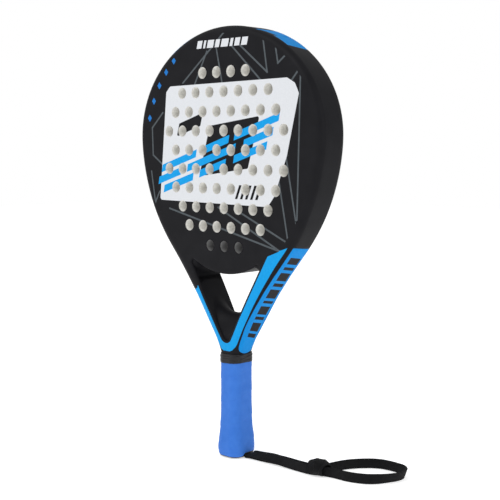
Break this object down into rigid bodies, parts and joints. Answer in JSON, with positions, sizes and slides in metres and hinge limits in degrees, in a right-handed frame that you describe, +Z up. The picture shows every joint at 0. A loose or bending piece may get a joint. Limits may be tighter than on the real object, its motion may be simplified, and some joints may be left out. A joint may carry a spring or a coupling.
{
  "type": "padel racket",
  "caption": "Padel racket with a drilled foam core between two laminated faces, an open throat, a wrapped grip and a wrist strap with a knotted hand loop.",
  "frame": {"origin": "centre of the butt end's bottom face, on the racket's long axis", "axes": "+Z up the long axis to the tip, -Y out of the front face, X across the face"},
  "size_m": [0.3163, 0.0838, 0.455],
  "materials": {
    "composite": "satin lacquer over a wound fibre laminate, printed blue on the arms",
    "white_foam": "fine closed-cell foam",
    "eva": "dense foam, cut clean in the holes",
    "face_sheet": "satin lacquered laminate",
    "film": "printed film let in flush under lacquer",
    "yellow_foam": "expanding foam",
    "cap_plastic": "moulded, slightly grained",
    "staple_wire": "flat wire",
    "cushion_grip": "perforated cushion tape",
    "overgrip": "thin tacky tape, matt",
    "tape": "self-adhesive tape, satin",
    "webbing": "woven polyester"
  },
  "bodies": {
    "racket": {"frame_tube": "composite", "frame_foam": "white_foam", "throat_bridge": "composite", "bridge_foam": "white_foam", "eva_core": "eva", "front_skin": "face_sheet", "back_skin": "face_sheet", "front_decal": "film", "back_decal": "film", "handle_foam": "yellow_foam", "butt_cap": "cap_plastic", "cap_staples": "staple_wire", "base_grip": "cushion_grip", "overgrip": "overgrip", "finishing_tape": "tape", "strap_anchor_knot": "webbing", "strap_tail": "webbing"},
    "strap": {"strap_stems": "webbing", "strap_knot": "webbing", "strap_loop": "webbing"}
  },
  "joints": [
    {"name": "strap_swing", "type": "hinge", "parent": "racket", "child": "strap", "pos_m": [0.018, 0.0007, 0], "axis": [0, 0, 1], "range_deg": [-30, 30]}
  ]
}
